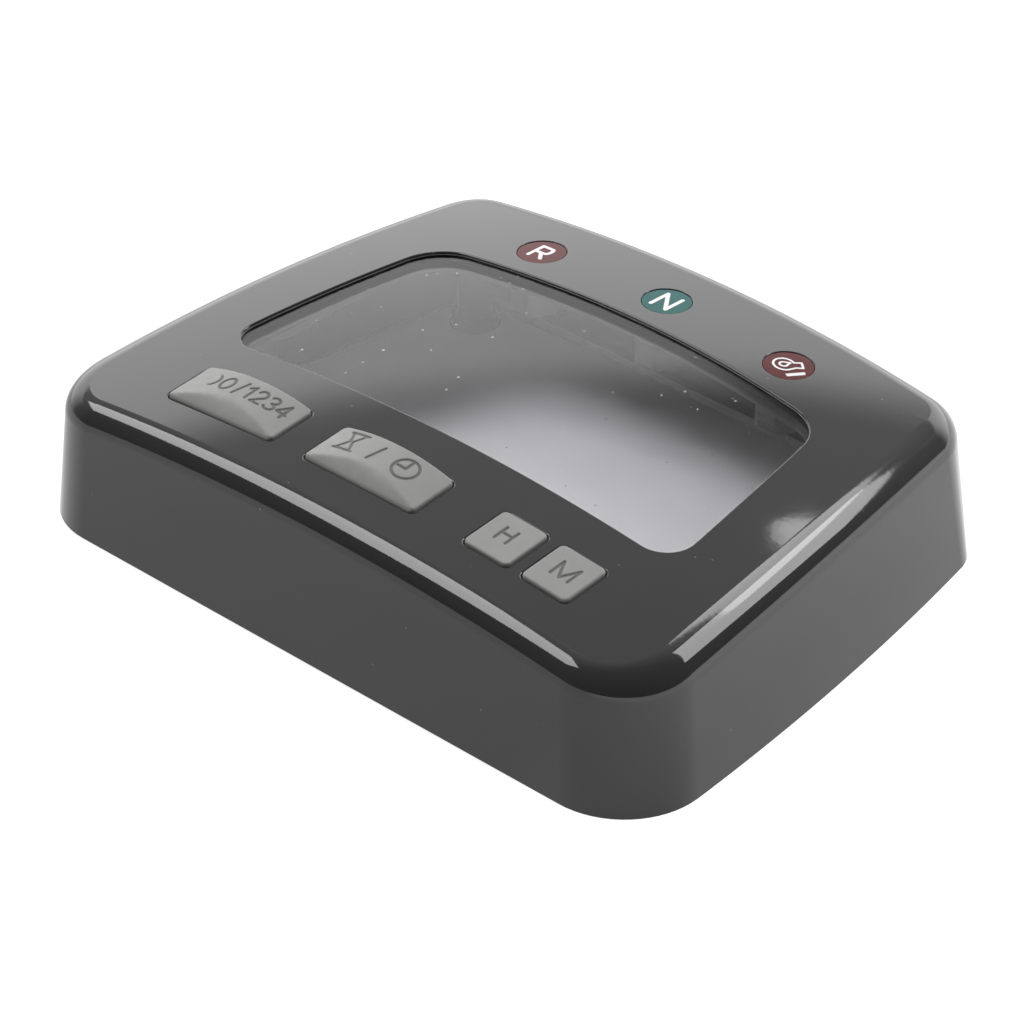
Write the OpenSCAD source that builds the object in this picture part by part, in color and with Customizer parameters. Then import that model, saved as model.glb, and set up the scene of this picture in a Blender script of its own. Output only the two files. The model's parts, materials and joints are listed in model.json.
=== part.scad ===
// Handlebar instrument for an all-terrain vehicle: crowned case with a clear window,
// three tell-tale lamps at the back and four keys along the front edge.
// X runs along the key edge, Y runs from the keys to the lamps, Z is up.
// The origin is the middle of the rim that the case stands on. Millimetres.

/* [Case] */
// Width of the rim along the key edge
case_w = 141.6; // [140.6:0.2:142.6]
// Width of the rim along the lamp edge, where its sides meet
back_w = 119.4; // [118.6:0.2:120.4]
// Depth of the rim
case_d = 104.4; // [104:0.2:105]
// Height of the crown
case_h = 31.75; // [31.5:0.05:32.5]
// Radius of the crown from side to side
crown_rx = 480; // [470:5:600]
// Radius of the crown from front to back
crown_ry = 564; // [550:2:700]
// How far behind the middle the crown peaks
crown_y = 9.7; // [8:0.1:11]
// Radius that blends the walls into the crown
edge_r = 4.8; // [4.4:0.1:5]
// How far the front and back walls lean in for each millimetre of height
draft = 0.0588; // [0.05:0.001:0.065]
// How much more than that the side walls lean in
side_draft = 0.052; // [0.04:0.001:0.06]
// How much larger the edge radius is along the side walls
side_swell = 1.4; // [0.8:0.1:1.6]
// Radius of the two front corners at the rim
front_corner_r = 15.2; // [14.2:0.2:15.8]
// Radius of the two front corners at the crown
crown_front_r = 16.4; // [15.2:0.2:17]
// Radius of the two back corners at the rim
back_corner_r = 9.2; // [9:0.2:10]
// Radius of the two back corners at the crown
crown_back_r = 13; // [12:0.2:14]
// Thickness of the walls
wall = 2.2; // [2:0.1:2.4]
// Thickness of the crown
roof = 2.4; // [2.2:0.1:2.5]

/* [Window] */
// Width of the opening along the key side
window_w = 101.4; // [100:0.2:102]
// Width of the opening along the lamp side
window_back_w = 87.6; // [86:0.2:88.4]
// Depth of the opening at its sides
window_d = 45.8; // [45:0.2:46]
// Where the opening starts, behind the middle
window_y = -21.2; // [-21.4:0.1:-21]
// Thickness of the lip that the lens shows through
lip = 0.6; // [0.5:0.1:0.8]
// Thickness of the lens
lens_t = 2; // [1.8:0.1:2.1]
// How far the collar under the window hangs below the crown
collar_h = 5.2; // [5:0.1:5.2]

/* [Lamps] */
// Radius of a lamp lens
lamp_r = 4.4; // [4.2:0.1:4.5]
// Distance from the middle lamp to the outer lamps
lamp_pitch = 28.2; // [27:0.2:29]
// How far behind the middle the middle lamp is
lamp_y = 35.8; // [35.6:0.1:36]
// Half the width across flats of an octagonal lamp tunnel
tunnel_r = 5.65; // [5.5:0.05:5.7]

/* [Keys] */
// Width of a wide key
wide_key_w = 24.8; // [24:0.2:25]
// Width of a small key
small_key_w = 9.6; // [9.2:0.1:9.7]
// Depth of every key
key_d = 10.1; // [9.6:0.1:10.2]
// Middle of the key row, in front of the middle of the case
key_y = -34.9; // [-35:0.1:-34.8]
// How far a small key stands above the crown
key_proud = 0.4; // [0.3:0.05:0.6]
// How far the middle of a wide key stands above the crown
wide_key_proud = 2; // [1.8:0.05:2.2]
// How far a key travels
key_travel = 0.8; // [0.5:0.1:0.8]
// Gap between a key and the edge of its opening
key_gap = 0.25; // [0.2:0.05:0.3]

/* [Display] */
// Width of the display glass
lcd_w = 107; // [106:0.5:107]
// Front edge of the display glass
lcd_y0 = -25; // [-25.2:0.1:-24.8]
// Back edge of the display glass
lcd_y1 = 28.6; // [28:0.1:28.8]
// Height of the underside of the display glass
lcd_z = 21; // [21:0.1:21.2]

/* [Boards] */
// Height of the top face of both circuit boards
board_z = 19; // [18.8:0.1:19]
// Thickness of both circuit boards
board_t = 1.6; // [1.2:0.1:1.6]
// Width of the main board
board_w = 119; // [118:0.5:119]

/* [Back cover] */
// Height of the underside of the back cover above the rim
cover_z = 0.6; // [0.5:0.1:0.7]
// Thickness of the back cover
cover_t = 1.7; // [1.6:0.1:1.8]
// Spacing of the mounting holes from side to side
mount_w = 96; // [94:1:97]
// Spacing of the mounting holes from front to back
mount_d = 32; // [31:0.5:33]
// Radius of the M5 thread in a mounting insert
mount_r = 2.5; // [2.5:0.1:2.6]

/* [Hidden] */
$fn = 48;

black = [0.16, 0.16, 0.17];
dark = [0.1, 0.1, 0.11];
grey = [0.62, 0.62, 0.6];
green = [0.1, 0.33, 0.2];
steel = [0.72, 0.73, 0.75];
brass = [0.8, 0.65, 0.3];
clear = [0.85, 0.9, 0.95, 0.35];
eps = 0.01;

// ---- outlines -------------------------------------------------------------
// An outline is four corner points, run anticlockwise from the left front, with a bulge for
// each side and a radius for each corner. rim() turns it into points with outward normals,
// and both arcs of a corner keep their centres, so an inset only moves points along normals.

corner_steps = 7;
side_steps = 10;
back_bulge = 2.84;

function case_shape(front_r, back_r) = [
    [[-case_w / 2, -case_d / 2], [case_w / 2, -case_d / 2],
     [back_w / 2, case_d / 2 - back_bulge], [-back_w / 2, case_d / 2 - back_bulge]],
    [0.03, 2.29, back_bulge, 2.29],
    [front_r, front_r, back_r, back_r]];

window_shape = [
    [[-window_w / 2, window_y], [window_w / 2, window_y],
     [window_back_w / 2, window_y + window_d], [-window_back_w / 2, window_y + window_d]],
    [-0.75, 0.5, 2.87, 0.5],
    [5.5, 5.5, 9.2, 9.2]];

function bearing(v) = atan2(v.y, v.x);
function turn(from, to) = ((to - from + 540) % 360) - 180;

// Centre and signed radius of the arc from p to q that bulges out by s.
function edge_circle(p, q, s) =
    let (c = norm(q - p), r = c * c / (8 * s) + s / 2, u = (q - p) / c)
    [(p + q) / 2 + [-u.y, u.x] * (r - s), r];

// Centre of the radius r that touches the arcs a and b near the corner v.
function corner_centre(a, b, r, v) =
    let (ra = abs(a[1] - r), rb = abs(b[1] - r), w = b[0] - a[0], d = norm(w),
         t = (d * d + ra * ra - rb * rb) / (2 * d), h = sqrt(ra * ra - t * t),
         m = a[0] + w / d * t, k = [-w.y, w.x] / d * h)
    norm(m + k - v) < norm(m - k - v) ? m + k : m - k;

// Points with outward normals along an arc, without its last point.
function arc(c, r, from, to, steps) =
    [for (i = [0:steps - 1])
        let (a = from + turn(from, to) * i / steps, u = [cos(a), sin(a)])
        [c + abs(r) * u, sign(r) * u]];

function rim(shape) =
    let (v = shape[0],
         e = [for (i = [0:3]) edge_circle(v[i], v[(i + 1) % 4], shape[1][i])],
         c = [for (i = [0:3]) corner_centre(e[(i + 3) % 4], e[i], shape[2][i], v[i])])
    [for (i = [0:3])
        let (before = e[(i + 3) % 4], after = e[i])
        each concat(
            arc(c[i], shape[2][i], bearing((c[i] - before[0]) * sign(before[1])),
                bearing((c[i] - after[0]) * sign(after[1])), corner_steps),
            arc(after[0], after[1], bearing(c[i] - after[0]),
                bearing(c[(i + 1) % 4] - after[0]), side_steps))];

function inset(points, d) = [for (q = points) q[0] - q[1] * d];

case_rim = rim(case_shape(front_corner_r, back_corner_r));
crown_rim = rim(case_shape(crown_front_r, crown_back_r));
window_rim = rim(window_shape);

// ---- crown ----------------------------------------------------------------
function crown(p) =
    case_h - p.x * p.x / (2 * crown_rx) - pow(p.y - crown_y, 2) / (2 * crown_ry);
function crown_fall(p, n) = (p.x * n.x) / crown_rx + ((p.y - crown_y) * n.y) / crown_ry;
function on_crown(points, scale, drop) =
    [for (p = points) [p.x * scale, p.y * scale, crown([p.x, p.y] * scale) - drop]];
function at_z(points, z) = [for (p = points) [p.x, p.y, z]];

// Closed skin through rings of points, with a fan from low and a fan to high.
module loft(rings, low, high) {
    n = len(rings[0]);
    last = len(rings) * n + 1;
    polyhedron(
        points = concat([low], [for (r = rings) each r], [high]),
        faces = concat(
            [for (j = [0:n - 1]) [0, 1 + j, 1 + (j + 1) % n]],
            [for (i = [0:len(rings) - 2], j = [0:n - 1], half = [0, 1])
                let (a = 1 + i * n + j, b = 1 + i * n + (j + 1) % n)
                half == 0 ? [a, a + n, b + n] : [a, b + n, b]],
            [for (j = [0:n - 1]) [last, last - n + (j + 1) % n, last - n + j]]));
}

// How far the wall with outward normal n leans in for each millimetre of height.
function lean(n) = draft + side_draft * n.x * n.x;

// Where the edge radius r sits against one rim point: its inset, height and the crown's fall.
function edge_seat(q, d, drop, r) =
    let (i = d + lean(q[1]) * (case_h - edge_r) + r, p = q[0] - q[1] * i,
         fall = atan(crown_fall(p, q[1])),
         z = crown(p + q[1] * r * sin(fall)) - drop - r * cos(fall))
    [d + lean(q[1]) * z + r, z, fall];

function edge_ring(d, drop, radius, t) =
    [for (q = crown_rim)
        let (r = radius + side_swell * q[1].x * q[1].x,
             s = edge_seat(q, d, drop, r), a = atan(lean(q[1])), phi = a + t * (90 - s[2] - a),
             p = q[0] - q[1] * (s[0] - r * cos(phi)))
        [p.x, p.y, s[1] + r * sin(phi)]];

// The case's rim, moved in by d and by the walls' lean at height z. The wall runs straight from it to
// the first edge ring, so its corners grow rounder on the way up.
function wall_ring(d, z) =
    [for (q = case_rim) let (p = q[0] - q[1] * (d + lean(q[1]) * z)) [p.x, p.y, z]];

// The solid body of the case, d inside its walls and drop under its crown.
module case_body(d, drop, r, z0) {
    top = edge_ring(d, drop, r, 1);
    flat = [for (p = top) [p.x, p.y]];
    loft(concat(
            [wall_ring(d, z0)],
            [for (k = [0:5]) edge_ring(d, drop, r, k / 5)],
            [for (s = [0.8, 0.6, 0.4, 0.2]) on_crown(flat, s, drop)]),
        [0, 0, z0], [0, 0, crown([0, 0]) - drop]);
}

// A sheet that follows the crown, from top to bottom below it, d inside the window.
module crown_sheet(d, top, bottom) {
    p = inset(window_rim, d);
    steps = [0.25, 0.5, 0.75, 1];
    loft(concat(
            [for (s = steps) on_crown(p, s, bottom)],
            [for (i = [3:-1:0]) on_crown(p, steps[i], top)]),
        [0, 0, crown([0, 0]) - bottom], [0, 0, crown([0, 0]) - top]);
}

module window_prism(d, z0, z1)
    translate([0, 0, z0]) linear_extrude(z1 - z0) polygon(inset(window_rim, d));

module rounded_rect(w, d, r) {
    square([w - 2 * r, d], center = true);
    square([w, d - 2 * r], center = true);
    for (x = [-1, 1], y = [-1, 1]) translate([x * (w / 2 - r), y * (d / 2 - r)]) circle(r);
}

module block(x0, y0, z0, x1, y1, z1) translate([x0, y0, z0]) cube([x1 - x0, y1 - y0, z1 - z0]);

module at_each(places) for (p = places) translate([p.x, p.y, 0]) children();

// Pan-head screw that points up, with its head's top face at z0.
module screw(z0, shank_r, length, head_r, head_h) {
    difference() {
        translate([0, 0, z0]) cylinder(r = head_r, h = head_h);
        translate([0, 0, z0 - eps]) for (a = [0, 90])
            rotate(a) translate([-head_r * 0.6, -head_r * 0.11, 0])
                cube([head_r * 1.2, head_r * 0.22, head_h * 0.5]);
    }
    translate([0, 0, z0 + head_h]) cylinder(r = shank_r, h = length);
}

// ---- places ---------------------------------------------------------------
lamps = [[-lamp_pitch, lamp_y - 1.1], [0, lamp_y], [lamp_pitch, lamp_y - 1.1]];
lens_d = -1.6;
pocket_d = -1.7;
collar_d = -2.9;
case_columns = [[-25, -46], [25, -46], [-59.5, -5], [59.5, -5], [-51.5, 42], [51.5, 42]];
column_r = 3.2;
column_z = 4.5;
board_posts = [[-55.5, -40], [55.5, -40], [-55.5, -26.5], [55.5, -26.5]];
lamp_posts = [[-14.1, 41.5], [14.1, 41.5]];
bracket_posts = [[-56.2, -18], [56.2, -18], [-56.2, 14], [56.2, 14]];
post_r = 2.3;
mounts = [for (x = [-1, 1], y = [-1, 1]) [x * mount_w / 2, -22 + y * mount_d / 2]];
board_y0 = -42.5;
board_y1 = -23;
board_low = board_z - board_t;
cover_top = cover_z + cover_t;
socket_y = -33;
seat_drop = 2.3;
led_r = 1.5;
led_h = 2.4;

// A key is its middle, its width and how it stands above the crown.
trip = [-32.8, wide_key_w];
time = [-0.4, wide_key_w];
hour = [27.9, small_key_w];
minute = [40.4, small_key_w];
keys = [trip, time, hour, minute];
key_low = 23.4;
key_corner = 1.1;
flange = 0.8;
flange_t = 1;
foam_x = 52.4;
switch_h = 3.2;
switch_top = board_z + switch_h;
plunger_in = 0.9;
bore_low = switch_top - plunger_in - key_travel - 0.6;
rebate_d = 1.3;
rebate_h = 3.5;

// ---- case -----------------------------------------------------------------
module lamp_bore(lamp) {
    seat = crown(lamp) - seat_drop;
    translate([lamp.x, lamp.y, seat]) cylinder(r = lamp_r + 0.1, h = 5);
    translate([lamp.x, lamp.y, 10]) cylinder(r = lamp_r - 0.7, h = 20);
}

module upper_case() color(black)
    difference() {
        union() {
            difference() {
                case_body(0, 0, edge_r, 0);
                case_body(wall, roof, edge_r - roof, -1);
            }
            intersection() {
                case_body(wall / 2, roof / 2, edge_r - roof / 2, 1);
                union() {
                    at_each(lamps) rotate(22.5) translate([0, 0, board_z + 0.3])
                        cylinder(r = tunnel_r / cos(22.5), h = 12, $fn = 8);
                    at_each(case_columns) translate([0, 0, column_z]) cylinder(r = column_r, h = 25);
                    at_each(board_posts) translate([0, 0, board_z]) cylinder(r = post_r, h = 12);
                    at_each(lamp_posts) translate([0, 0, board_z]) cylinder(r = post_r, h = 12);
                    at_each(bracket_posts) translate([0, 0, lcd_z]) cylinder(r = post_r, h = 10);
                }
            }
            difference() {
                crown_sheet(collar_d, roof / 2, collar_h);
                window_prism(pocket_d, 0, 40);
            }
        }
        window_prism(0, 20, 40);
        intersection() {
            crown_sheet(pocket_d, lip, 8);
            window_prism(pocket_d, 20, 40);
        }
        for (lamp = lamps) lamp_bore(lamp);
        for (k = keys) translate([k[0], key_y, 20])
            linear_extrude(15) rounded_rect(k[1] + 2 * key_gap, key_d + 2 * key_gap, key_corner + key_gap);
        at_each(case_columns) translate([0, 0, column_z - 1]) cylinder(r = 1.55, h = 13);
        at_each(board_posts) translate([0, 0, board_z - 1]) cylinder(r = 1.05, h = 6.5);
        at_each(lamp_posts) translate([0, 0, board_z - 1]) cylinder(r = 1.05, h = 8);
        at_each(bracket_posts) translate([0, 0, lcd_z - 1]) cylinder(r = 1.05, h = 6);
        loft([wall_ring(rebate_d, -1), wall_ring(rebate_d, rebate_h)], [0, 0, -1], [0, 0, rebate_h]);
    }

module window_lens() color(clear) crown_sheet(lens_d, lip + 0.25, lip + 0.25 + lens_t);

module lens_adhesive() color(dark)
    difference() {
        crown_sheet(lens_d, lip + 0.05, lip + 0.2);
        window_prism(-0.3, 20, 40);
    }

module lens_retainer() color(black)
    difference() {
        crown_sheet(lens_d, lip + 0.3 + lens_t, collar_h - 0.15);
        window_prism(0, 15, 40);
    }

// ---- lamps ----------------------------------------------------------------
module lamp_lens(lamp)
    intersection() {
        translate([lamp.x, lamp.y, crown(lamp) - seat_drop]) cylinder(r = lamp_r, h = 5);
        case_body(1, 0.2, edge_r - 1, 10);
    }

module reverse_lamp_lens() color([0.55, 0.08, 0.08]) lamp_lens(lamps[0]);
module neutral_lamp_lens() color([0.05, 0.42, 0.38]) lamp_lens(lamps[1]);
module oil_lamp_lens() color([0.5, 0.06, 0.07]) lamp_lens(lamps[2]);

module lamp_board() color(dark)
    difference() {
        block(-37, 30.6, board_low, 43, 44.5, board_z);
        at_each(lamp_posts) cylinder(r = 1.15, h = 30);
    }

module indicator_leds() color([0.9, 0.9, 0.85])
    at_each(lamps) translate([0, 0, board_z]) {
        cylinder(r = 2.4, h = 0.9);
        cylinder(r = led_r, h = led_h);
        translate([0, 0, led_h]) sphere(r = led_r);
    }

module lamp_board_screws() color(steel)
    at_each(lamp_posts) screw(board_low - 1.4, 1, board_t + 6, 1.9, 1.4);

module lamp_jumper() color([0.75, 0.72, 0.66])
    translate([0, 0, board_z + 0.6]) linear_extrude(0.3) difference() {
        translate([41, -24.3]) square([10.4, 61.6]);
        translate([40, -25.3]) square([6.4, 57.6]);
    }

module jumper_sockets() color(grey)
    difference() {
        union() {
            block(36.6, 31.8, board_z, 41.2, 37.8, board_z + 1.7);
            block(46, -27.6, board_z, 51.8, -24.1, board_z + 1.7);
        }
        block(40.5, 32, board_z + 0.5, 42, 37.6, board_z + 1);
        block(46.2, -25, board_z + 0.5, 51.6, -24, board_z + 1);
    }

// ---- display --------------------------------------------------------------
module lcd_rear_glass() color(clear)
    block(-lcd_w / 2, lcd_y0, lcd_z, lcd_w / 2, lcd_y1, lcd_z + 0.9);

module lcd_front_glass() color(clear)
    block(-lcd_w / 2, lcd_y0 + 2.6, lcd_z + 0.9, lcd_w / 2, lcd_y1, lcd_z + 1.8);

module lcd_foam_strips() color(dark)
    intersection() {
        for (x = [-foam_x, foam_x]) translate([x - 0.8, -16, lcd_z + 1.8]) cube([1.6, 28, 6]);
        case_body(wall + 1, collar_h + 0.1, 1.5, 10);
    }

// Rail under one end of the display glass; side is 1 on the right and -1 on the left.
module lcd_bracket(side)
    difference() {
        union() {
            translate([side * 55.3, 0, lcd_z - 0.7]) cube([6.4, 42, 1.4], center = true);
            at_each([for (y = [-18, 14]) [side * 56.2, y]])
                translate([0, 0, lcd_z - 1.4]) cylinder(r = 2.8, h = 1.4);
        }
        at_each(case_columns) cylinder(r = column_r + 0.4, h = 40);
        at_each(bracket_posts) cylinder(r = 1.15, h = 40);
    }

module lcd_left_bracket() color(dark) lcd_bracket(-1);
module lcd_right_bracket() color(dark) lcd_bracket(1);

module lcd_bracket_screws() color(steel)
    at_each(bracket_posts) screw(lcd_z - 2.6, 1, 5, 1.9, 1.2);

module lcd_flex() color([0.75, 0.55, 0.2]) block(-30, lcd_y0 - 0.3, board_z, 30, lcd_y0, lcd_z + 0.9);

module reflector_sheet() color([0.95, 0.95, 0.95])
    translate([0, 0, cover_top]) linear_extrude(0.3) difference() {
        intersection() {
            polygon(inset(case_rim, wall + 0.5));
            translate([-80, -2]) square([160, 70]);
        }
        at_each(mounts) circle(5.4);
        at_each(case_columns) circle(4.7);
    }

module backlight_leds() color([0.95, 0.93, 0.75])
    for (x = [-37.5:25:37.5]) block(x - 1.8, board_y1 - 1.6, board_z, x + 1.8, board_y1, board_z + 1.6);

// ---- main board -----------------------------------------------------------
module main_board() color(green)
    difference() {
        block(-board_w / 2, board_y0, board_low, board_w / 2, board_y1, board_z);
        at_each(board_posts) cylinder(r = 1.15, h = 30);
    }

module main_board_screws() color(steel)
    at_each(board_posts) screw(board_low - 1.4, 1, board_t + 5, 1.9, 1.4);

// Flat chip under the board with a row of leads on each of its long sides.
module chip(x, y, w, d, h, leads) {
    color(dark) block(x - w / 2, y - d / 2, board_low - h, x + w / 2, y + d / 2, board_low - 0.15);
    color(steel) for (s = [-1, 1], i = [0:leads - 1])
        translate([x - w / 2 + (i + 0.5) * w / leads, y + s * (d / 2 + 0.5), board_low - 0.5])
            cube([w / leads * 0.45, 1.1, 1], center = true);
}

module controller_chip() chip(31, -33, 10, 10, 1.6, 10);
module memory_chip() chip(-37, -29, 5, 4, 1.5, 4);

module clock_crystal() color(steel)
    translate([44.5, -29.5, board_low - 3.2]) linear_extrude(3.2) rounded_rect(4.6, 10, 2.29);

module voltage_regulator() {
    color(dark) block(-30, -40.5, board_low - 2.3, -23.5, -34.5, board_low);
    color(steel) block(-29.4, -34.5, board_low - 0.6, -24.1, -32.6, board_low);
}

module filter_capacitors() color([0.5, 0.5, 0.55])
    for (x = [-51, -44, -37.5]) translate([x, -36.5, board_low - 6])
        difference() {
            cylinder(r = x > -40 ? 2 : 3, h = 6);
            translate([-2.2, -0.15, -eps]) cube([4.4, 0.3, 0.3]);
        }

module speed_input_coil() color([0.2, 0.2, 0.2])
    translate([-24.5, -28, board_low - 3.4]) difference() {
        cylinder(r = 3, h = 3.4);
        translate([0, 0, 0.8]) difference() {
            cylinder(r = 3.2, h = 1.6);
            cylinder(r = 1.6, h = 1.6);
        }
    }

module harness_socket() color([0.2, 0.2, 0.21])
    translate([0, socket_y, 0]) difference() {
        union() {
            translate([0, 0, cover_z]) linear_extrude(board_low - cover_z) rounded_rect(30, 10.4, 1.2);
            translate([0, 0, board_low - 2.5]) linear_extrude(2.5) square([33, 12.4], center = true);
        }
        translate([0, 0, cover_z - 1]) linear_extrude(12.4) rounded_rect(27, 7.4, 0.8);
        for (x = [-7, 7]) translate([x, -4.6, cover_z + 5]) cube([2.6, 3, 12], center = true);
        translate([0, 0, 5]) for (i = [0:9], s = [-1, 1])
            translate([(i - 4.5) * 2.5, s * 1.5, 0]) cylinder(r = 0.4, h = 20);
    }

module harness_pins() color(brass)
    for (i = [0:9], s = [-1, 1])
        translate([(i - 4.5) * 2.5, socket_y + s * 1.5, 5.5]) cylinder(r = 0.4, h = board_low - 5.5);

// ---- keys -----------------------------------------------------------------
module key_block(k, z1) {
    translate([k[0], key_y, key_low]) {
        linear_extrude(z1 - key_low) rounded_rect(k[1], key_d, key_corner);
        linear_extrude(flange_t)
            rounded_rect(k[1] + 2 * flange, key_d + 2 * flange, key_corner + flange / 2);
    }
}

// Turns its children so that their Z axis stands square to the crown at the key.
module on_key(k, proud) {
    p = [k[0], key_y];
    translate([p.x, p.y, crown(p) + proud])
        rotate([atan((crown_y - p.y) / crown_ry), atan(p.x / crown_rx), 0]) children();
}

module small_key(k) color(grey)
    intersection() {
        key_block(k, 33);
        on_key(k, key_proud) translate([-20, -20, -15]) cube([40, 40, 15]);
    }

arch_r = 44;
scoop_back = 1.9;
scoop_angle = 31;

module wide_key(k) color(grey)
    intersection() {
        key_block(k, 35);
        on_key(k, wide_key_proud) translate([0, 20, -arch_r]) rotate([90, 0, 0])
            cylinder(r = arch_r, h = 40, $fn = 96);
        on_key(k, wide_key_proud) translate([0, -scoop_back, 0]) rotate([scoop_angle, 0, 0])
            translate([-20, -20, -15]) cube([40, 60, 15]);
    }

module key_plunger(k) color([0.3, 0.1, 0.1])
    translate([k[0], key_y, switch_top - plunger_in])
        cylinder(r = 1.75, h = key_low - switch_top + plunger_in);

module key_switch(k) {
    color(dark) difference() {
        translate([k[0] - 3, key_y - 3, board_z]) cube([6, 6, switch_h]);
        translate([k[0], key_y, bore_low]) cylinder(r = 2, h = 5);
    }
    color(steel) for (x = [-1, 1], y = [-1, 1])
        translate([k[0] + x * 3.4, key_y + y * 2.2, board_z + 0.4]) cube([0.8, 0.7, 0.8], center = true);
}

module trip_key() wide_key(trip);
module trip_key_plunger() key_plunger(trip);
module trip_key_switch() key_switch(trip);
module time_key() wide_key(time);
module time_key_plunger() key_plunger(time);
module time_key_switch() key_switch(time);
module hour_key() small_key(hour);
module hour_key_plunger() key_plunger(hour);
module hour_key_switch() key_switch(hour);
module minute_key() small_key(minute);
module minute_key_plunger() key_plunger(minute);
module minute_key_switch() key_switch(minute);

module switch_domes() color(steel)
    for (k = keys) translate([k[0], key_y, bore_low]) cylinder(r = 1.9, h = 0.2);

module keypad_mat() color([0.35, 0.35, 0.35])
    difference() {
        intersection() {
            union() {
                block(-48.5, -42, board_z, 49, -28, board_z + 1);
                for (k = keys) translate([k[0], key_y, board_z])
                    linear_extrude(12) rounded_rect(k[1] + 4.2, key_d + 4.2, 2.4);
            }
            case_body(wall + 0.5, roof + 0.2, 2, 10);
        }
        for (k = keys) translate([k[0], key_y, board_z - 1]) {
            linear_extrude(15) square([9, 6.6], center = true);
            translate([0, 0, 2]) linear_extrude(15)
                rounded_rect(k[1] + 2 * flange + 0.6, key_d + 2 * flange + 0.6, 1.8);
        }
    }

// ---- back -----------------------------------------------------------------
module back_cover() color(black)
    difference() {
        union() {
            translate([0, 0, cover_z]) linear_extrude(cover_t) polygon(inset(case_rim, 1.75));
            translate([0, 0, cover_z]) linear_extrude(column_z - cover_z) intersection() {
                at_each(case_columns) circle(4.3);
                polygon(inset(case_rim, 2.6));
            }
            at_each(mounts) translate([0, 0, cover_z]) cylinder(r = 5, h = 10.4);
        }
        at_each(case_columns) translate([0, 0, -1]) {
            cylinder(r = 3.1, h = cover_z + 3);
            cylinder(r = 1.7, h = 10);
        }
        at_each(mounts) translate([0, 0, cover_z - eps]) cylinder(r = 3.5, h = 9);
        translate([0, socket_y, 0]) linear_extrude(5) rounded_rect(30.6, 11, 1.4);
        translate([0, -12, 0]) cylinder(r = 3, h = 5);
    }

module cover_seal() color([0.05, 0.05, 0.05])
    translate([0, 0, cover_top]) linear_extrude(1.1) difference() {
        polygon(inset(case_rim, 1.85));
        polygon(inset(case_rim, 2.6));
    }

module case_screws() color(steel)
    at_each(case_columns) screw(cover_z, 1.5, 11, 2.8, 2);

module mount_inserts() color(brass)
    at_each(mounts) difference() {
        union() {
            translate([0, 0, cover_z]) cylinder(r = 3.5, h = 3);
            translate([0, 0, cover_z + 3]) cylinder(r = 3.2, h = 1);
            translate([0, 0, cover_z + 4]) cylinder(r = 3.5, h = 3);
        }
        translate([0, 0, -1]) cylinder(r = mount_r, h = 12);
    }

module vent_plug() color(dark)
    translate([0, -12, 0]) difference() {
        union() {
            translate([0, 0, cover_z]) cylinder(r = 2.95, h = cover_t);
            translate([0, 0, cover_top]) cylinder(r = 4.2, h = 1);
        }
        for (a = [0:60:300]) rotate(a) translate([1.6, 0, -1]) cylinder(r = 0.4, h = 2.6);
    }

upper_case();
window_lens();
lens_adhesive();
lens_retainer();
reverse_lamp_lens();
neutral_lamp_lens();
oil_lamp_lens();
lamp_board();
indicator_leds();
lamp_board_screws();
lamp_jumper();
jumper_sockets();
lcd_front_glass();
lcd_rear_glass();
lcd_foam_strips();
lcd_left_bracket();
lcd_right_bracket();
lcd_bracket_screws();
lcd_flex();
reflector_sheet();
backlight_leds();
main_board();
main_board_screws();
controller_chip();
memory_chip();
clock_crystal();
voltage_regulator();
filter_capacitors();
speed_input_coil();
harness_socket();
harness_pins();
trip_key();
trip_key_plunger();
trip_key_switch();
time_key();
time_key_plunger();
time_key_switch();
hour_key();
hour_key_plunger();
hour_key_switch();
minute_key();
minute_key_plunger();
minute_key_switch();
switch_domes();
keypad_mat();
back_cover();
cover_seal();
case_screws();
mount_inserts();
vent_plug();
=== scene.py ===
import json
import math

import bpy
import numpy as np
from mathutils import Matrix, Vector
from mathutils.geometry import delaunay_2d_cdt


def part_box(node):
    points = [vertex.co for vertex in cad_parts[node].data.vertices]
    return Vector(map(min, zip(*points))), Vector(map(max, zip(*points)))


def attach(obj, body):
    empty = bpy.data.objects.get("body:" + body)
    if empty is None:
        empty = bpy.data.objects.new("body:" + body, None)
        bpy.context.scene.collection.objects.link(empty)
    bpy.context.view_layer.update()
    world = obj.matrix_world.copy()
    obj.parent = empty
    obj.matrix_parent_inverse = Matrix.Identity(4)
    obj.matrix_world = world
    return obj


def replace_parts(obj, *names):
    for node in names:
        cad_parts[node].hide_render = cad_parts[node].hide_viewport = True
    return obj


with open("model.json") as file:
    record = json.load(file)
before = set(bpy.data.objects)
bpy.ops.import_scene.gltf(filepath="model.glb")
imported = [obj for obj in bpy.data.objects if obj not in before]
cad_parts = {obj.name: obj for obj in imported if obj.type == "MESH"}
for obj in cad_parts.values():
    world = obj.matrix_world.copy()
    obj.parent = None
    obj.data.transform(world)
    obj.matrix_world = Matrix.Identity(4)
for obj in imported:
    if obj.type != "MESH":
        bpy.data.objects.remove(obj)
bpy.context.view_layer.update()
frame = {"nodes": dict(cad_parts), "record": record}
nodes = frame["nodes"]

# Lengths are in millimetres until a mesh is made. Lights and materials are in metres.
MM = 0.001

# ---- camera -----------------------------------------------------------------
CAMERA_TARGET = (8.632, -12.77, 15.0)
CAMERA_DISTANCE = 709.07
CAMERA_AZIMUTH = math.radians(42.951)
CAMERA_ELEVATION = math.radians(33.469)
CAMERA_ROLL = math.radians(0.139)
CAMERA_LENS = 149.84


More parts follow.
